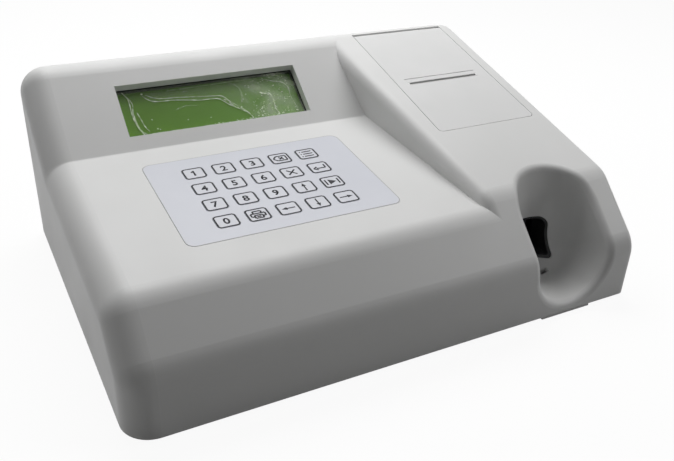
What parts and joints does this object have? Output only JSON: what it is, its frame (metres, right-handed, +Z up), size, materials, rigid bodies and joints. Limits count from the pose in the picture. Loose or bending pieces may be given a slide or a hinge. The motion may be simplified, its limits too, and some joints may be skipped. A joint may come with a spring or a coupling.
{
  "type": "urine analyzer",
  "caption": "Bench-top urine strip analyzer: sloped housing, recessed graphic display, keypad deck, strip well with sliding carriage and a thermal printer under a hinged cover.",
  "frame": {"origin": "centre of the footprint, on the surface the rubber feet stand on", "axes": "+X to the right seen from the front, +Y to the back, +Z up"},
  "size_m": [0.35, 0.2506, 0.1288],
  "materials": {
    "housing_shell": "fine matt moulded texture",
    "cover_shell": "fine matt moulded texture",
    "overlay_sheet": "satin printed film",
    "key_film": "satin printed film",
    "display_glass": "polished",
    "clear_film": "glossy crinkled film",
    "plated_steel": "zinc plated",
    "ground_steel": "ground",
    "brass_gear": "machined",
    "circuit_board": "solder mask",
    "black_plastic": "matt",
    "grey_plastic": "matt",
    "white_plastic": "satin",
    "soft_rubber": "matt",
    "thermal_paper": "smooth paper",
    "coil_core": "varnished laminations",
    "aluminium_sink": "anodised"
  },
  "bodies": {
    "housing": {"upper_housing": "housing_shell", "base_plate": "housing_shell", "tray_runners": "grey_plastic", "base_screws": "plated_steel", "rubber_feet": "soft_rubber", "strip_tunnel": "black_plastic", "guide_rods": "ground_steel", "rod_mount": "grey_plastic", "drive_bridge": "plated_steel", "step_motor": "plated_steel", "optical_head": "black_plastic", "head_board": "circuit_board", "cover_pin": "ground_steel", "printer_frame": "black_plastic", "printer_motor": "plated_steel", "print_head": "aluminium_sink", "lcd_bezel": "plated_steel", "lcd_glass": "display_glass", "lcd_film": "clear_film", "lcd_board": "circuit_board", "keypad_overlay": "overlay_sheet", "keypad_board": "circuit_board", "main_board": "circuit_board", "board_screws": "plated_steel", "transformer": "coil_core", "power_inlet": "black_plastic", "power_switch": "black_plastic", "fuse_holder": "black_plastic", "serial_port": "plated_steel"},
    "strip_carriage": {"strip_carriage": "grey_plastic", "reference_tile": "white_plastic"},
    "drive_pinion": {"drive_pinion": "brass_gear"},
    "printer_cover": {"printer_cover": "cover_shell"},
    "platen": {"platen_roller": "soft_rubber", "platen_gear": "white_plastic"},
    "printer_drive": {"motor_gear": "brass_gear"},
    "paper": {"paper_roll": "thermal_paper", "paper_spindle": "grey_plastic"},
    "power_rocker": {"power_rocker": "black_plastic"},
    "drip_tray": {"drip_tray": "housing_shell"},
    "key_1": {"key_1": "key_film"},
    "key_2": {"key_2": "key_film"},
    "key_3": {"key_3": "key_film"},
    "key_clear": {"key_clear": "key_film"},
    "key_menu": {"key_menu": "key_film"},
    "key_4": {"key_4": "key_film"},
    "key_5": {"key_5": "key_film"},
    "key_6": {"key_6": "key_film"},
    "key_cancel": {"key_cancel": "key_film"},
    "key_enter": {"key_enter": "key_film"},
    "key_7": {"key_7": "key_film"},
    "key_8": {"key_8": "key_film"},
    "key_9": {"key_9": "key_film"},
    "key_up": {"key_up": "key_film"},
    "key_start": {"key_start": "key_film"},
    "key_0": {"key_0": "key_film"},
    "key_print": {"key_print": "key_film"},
    "key_left": {"key_left": "key_film"},
    "key_down": {"key_down": "key_film"},
    "key_right": {"key_right": "key_film"}
  },
  "joints": [
    {"name": "strip_carriage_slide", "type": "slide", "parent": "housing", "child": "strip_carriage", "axis": [0, -1, 0], "range_m": [0, 0.048]},
    {"name": "drive_pinion_spin", "type": "hinge", "parent": "housing", "child": "drive_pinion", "pos_m": [0.10275, -0.0053, 0.0262], "axis": [0, 0, -1], "range_deg": [0, 397.89]},
    {"name": "printer_cover_hinge", "type": "hinge", "parent": "housing", "child": "printer_cover", "pos_m": [0.1217, 0.11263, 0.12423], "axis": [-1, 0, 0], "range_deg": [0, 95]},
    {"name": "platen_spin", "type": "hinge", "parent": "housing", "child": "platen", "pos_m": [0.1209, 0.0362, 0.0932], "axis": [1, 0, 0], "continuous": true},
    {"name": "printer_drive_spin", "type": "hinge", "parent": "housing", "child": "printer_drive", "pos_m": [0.1564, 0.02832, 0.07956], "axis": [1, 0, 0], "continuous": true},
    {"name": "paper_spin", "type": "hinge", "parent": "housing", "child": "paper", "pos_m": [0.1209, 0.0807, 0.0872], "axis": [1, 0, 0], "continuous": true},
    {"name": "power_rocker_tilt", "type": "hinge", "parent": "housing", "child": "power_rocker", "pos_m": [-0.087, 0.1193, 0.0442], "axis": [-1, 0, 0], "range_deg": [0, 20]},
    {"name": "drip_tray_slide", "type": "slide", "parent": "housing", "child": "drip_tray", "axis": [0, -1, 0], "range_m": [0, 0.05]},
    {"name": "key_1_press", "type": "slide", "parent": "housing", "child": "key_1", "axis": [0, 0.0854, -0.9963], "range_m": [0, 0.00045], "stiffness_N_per_m": 900},
    {"name": "key_2_press", "type": "slide", "parent": "housing", "child": "key_2", "axis": [0, 0.0854, -0.9963], "range_m": [0, 0.00045], "stiffness_N_per_m": 900},
    {"name": "key_3_press", "type": "slide", "parent": "housing", "child": "key_3", "axis": [0, 0.0854, -0.9963], "range_m": [0, 0.00045], "stiffness_N_per_m": 900},
    {"name": "key_clear_press", "type": "slide", "parent": "housing", "child": "key_clear", "axis": [0, 0.0854, -0.9963], "range_m": [0, 0.00045], "stiffness_N_per_m": 900},
    {"name": "key_menu_press", "type": "slide", "parent": "housing", "child": "key_menu", "axis": [0, 0.0854, -0.9963], "range_m": [0, 0.00045], "stiffness_N_per_m": 900},
    {"name": "key_4_press", "type": "slide", "parent": "housing", "child": "key_4", "axis": [0, 0.0854, -0.9963], "range_m": [0, 0.00045], "stiffness_N_per_m": 900},
    {"name": "key_5_press", "type": "slide", "parent": "housing", "child": "key_5", "axis": [0, 0.0854, -0.9963], "range_m": [0, 0.00045], "stiffness_N_per_m": 900},
    {"name": "key_6_press", "type": "slide", "parent": "housing", "child": "key_6", "axis": [0, 0.0854, -0.9963], "range_m": [0, 0.00045], "stiffness_N_per_m": 900},
    {"name": "key_cancel_press", "type": "slide", "parent": "housing", "child": "key_cancel", "axis": [0, 0.0854, -0.9963], "range_m": [0, 0.00045], "stiffness_N_per_m": 900},
    {"name": "key_enter_press", "type": "slide", "parent": "housing", "child": "key_enter", "axis": [0, 0.0854, -0.9963], "range_m": [0, 0.00045], "stiffness_N_per_m": 900},
    {"name": "key_7_press", "type": "slide", "parent": "housing", "child": "key_7", "axis": [0, 0.0854, -0.9963], "range_m": [0, 0.00045], "stiffness_N_per_m": 900},
    {"name": "key_8_press", "type": "slide", "parent": "housing", "child": "key_8", "axis": [0, 0.0854, -0.9963], "range_m": [0, 0.00045], "stiffness_N_per_m": 900},
    {"name": "key_9_press", "type": "slide", "parent": "housing", "child": "key_9", "axis": [0, 0.0854, -0.9963], "range_m": [0, 0.00045], "stiffness_N_per_m": 900},
    {"name": "key_up_press", "type": "slide", "parent": "housing", "child": "key_up", "axis": [0, 0.0854, -0.9963], "range_m": [0, 0.00045], "stiffness_N_per_m": 900},
    {"name": "key_start_press", "type": "slide", "parent": "housing", "child": "key_start", "axis": [0, 0.0854, -0.9963], "range_m": [0, 0.00045], "stiffness_N_per_m": 900},
    {"name": "key_0_press", "type": "slide", "parent": "housing", "child": "key_0", "axis": [0, 0.0854, -0.9963], "range_m": [0, 0.00045], "stiffness_N_per_m": 900},
    {"name": "key_print_press", "type": "slide", "parent": "housing", "child": "key_print", "axis": [0, 0.0854, -0.9963], "range_m": [0, 0.00045], "stiffness_N_per_m": 900},
    {"name": "key_left_press", "type": "slide", "parent": "housing", "child": "key_left", "axis": [0, 0.0854, -0.9963], "range_m": [0, 0.00045], "stiffness_N_per_m": 900},
    {"name": "key_down_press", "type": "slide", "parent": "housing", "child": "key_down", "axis": [0, 0.0854, -0.9963], "range_m": [0, 0.00045], "stiffness_N_per_m": 900},
    {"name": "key_right_press", "type": "slide", "parent": "housing", "child": "key_right", "axis": [0, 0.0854, -0.9963], "range_m": [0, 0.00045], "stiffness_N_per_m": 900}
  ],
  "couplings": [
    {"joint": "drive_pinion_spin", "follows": "strip_carriage_slide", "rad_per_m": 142.86},
    {"joint": "printer_drive_spin", "follows": "platen_spin", "ratio": -2}
  ]
}
